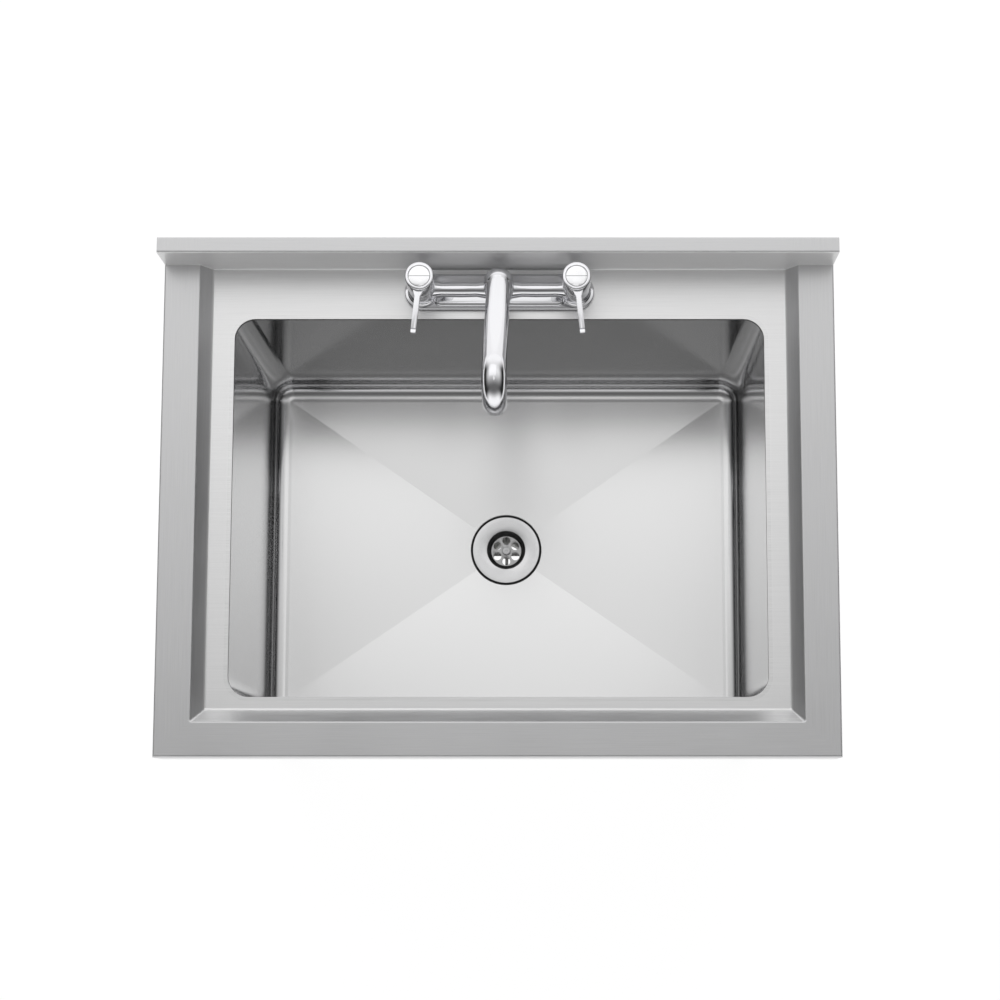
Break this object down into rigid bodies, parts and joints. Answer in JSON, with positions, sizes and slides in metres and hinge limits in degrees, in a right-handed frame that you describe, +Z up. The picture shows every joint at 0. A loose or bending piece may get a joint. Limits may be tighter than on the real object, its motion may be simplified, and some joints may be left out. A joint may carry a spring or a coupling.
{
  "type": "sink table",
  "caption": "Stainless steel sink table with a boxed rear upstand, raised rim, one deep bowl and a two-lever swivel mixer tap",
  "frame": {"origin": "On the floor under the middle of the table's footprint, with the feet at mid travel", "axes": "+X to the right of a person who stands at the bowl, +Y towards the wall side with the upstand, +Z up"},
  "size_m": [0.8, 0.608, 1.0147],
  "materials": {
    "satin_steel": "satin brushed stainless steel",
    "frame_steel": "satin stainless steel tube and pressings",
    "bright_fastener": "bright steel fastener",
    "chrome": "polished chrome plate",
    "brass": "plain machined brass",
    "black_rubber": "matt black rubber",
    "black_plastic": "black moulded nylon",
    "foot_plastic": "dark moulded nylon pad on a threaded stem",
    "white_plastic": "white moulded plastic"
  },
  "bodies": {
    "frame": {"worktop": "satin_steel", "bowl": "satin_steel", "leg_front_left": "frame_steel", "leg_front_right": "frame_steel", "leg_rear_left": "frame_steel", "leg_rear_right": "frame_steel", "leg_socket_front_left": "frame_steel", "leg_socket_front_right": "frame_steel", "leg_socket_rear_left": "frame_steel", "leg_socket_rear_right": "frame_steel", "foot_insert_front_left": "black_plastic", "foot_insert_front_right": "black_plastic", "foot_insert_rear_left": "black_plastic", "foot_insert_rear_right": "black_plastic", "lock_nuts": "bright_fastener", "socket_screws": "bright_fastener", "rail_left": "frame_steel", "rail_right": "frame_steel", "rail_rear": "frame_steel", "rail_plugs": "black_plastic", "rail_bolts": "bright_fastener", "waste_flange": "frame_steel", "waste_screw": "bright_fastener", "waste_top_seal": "black_rubber", "waste_bottom_seal": "black_rubber", "waste_body": "white_plastic", "tap_body": "chrome", "tap_gasket": "black_rubber", "tail_washers": "black_rubber", "tail_nuts": "brass", "glide_ring": "white_plastic", "spout_retaining_screw": "bright_fastener", "tail_left": "brass", "cartridge_left": "brass", "tail_right": "brass", "cartridge_right": "brass"},
    "spout": {"spout": "chrome", "spout_seals": "black_rubber", "aerator_housing": "chrome", "aerator_insert": "white_plastic", "aerator_washer": "black_rubber"},
    "handle_left": {"handle_left": "chrome", "spindle_left": "brass", "handle_screw_left": "bright_fastener", "handle_cap_left": "chrome"},
    "handle_right": {"handle_right": "chrome", "spindle_right": "brass", "handle_screw_right": "bright_fastener", "handle_cap_right": "chrome"},
    "foot_front_left": {"foot_front_left": "foot_plastic"},
    "foot_front_right": {"foot_front_right": "foot_plastic"},
    "foot_rear_left": {"foot_rear_left": "foot_plastic"},
    "foot_rear_right": {"foot_rear_right": "foot_plastic"}
  },
  "joints": [
    {"name": "spout_swivel", "type": "hinge", "parent": "frame", "child": "spout", "pos_m": [0, 0.2556, 0.868], "axis": [0, 0, 1], "range_deg": [-90, 90]},
    {"name": "lever_turn_left", "type": "hinge", "parent": "frame", "child": "handle_left", "pos_m": [-0.092, 0.2556, 0.88], "axis": [0, 0, -1], "range_deg": [0, 90]},
    {"name": "lever_turn_right", "type": "hinge", "parent": "frame", "child": "handle_right", "pos_m": [0.092, 0.2556, 0.88], "axis": [0, 0, 1], "range_deg": [0, 90]},
    {"name": "foot_adjust_front_left", "type": "slide", "parent": "frame", "child": "foot_front_left", "axis": [0, 0, 1], "range_m": [-0.02, 0.02]},
    {"name": "foot_adjust_front_right", "type": "slide", "parent": "frame", "child": "foot_front_right", "axis": [0, 0, 1], "range_m": [-0.02, 0.02]},
    {"name": "foot_adjust_rear_left", "type": "slide", "parent": "frame", "child": "foot_rear_left", "axis": [0, 0, 1], "range_m": [-0.02, 0.02]},
    {"name": "foot_adjust_rear_right", "type": "slide", "parent": "frame", "child": "foot_rear_right", "axis": [0, 0, 1], "range_m": [-0.02, 0.02]}
  ]
}
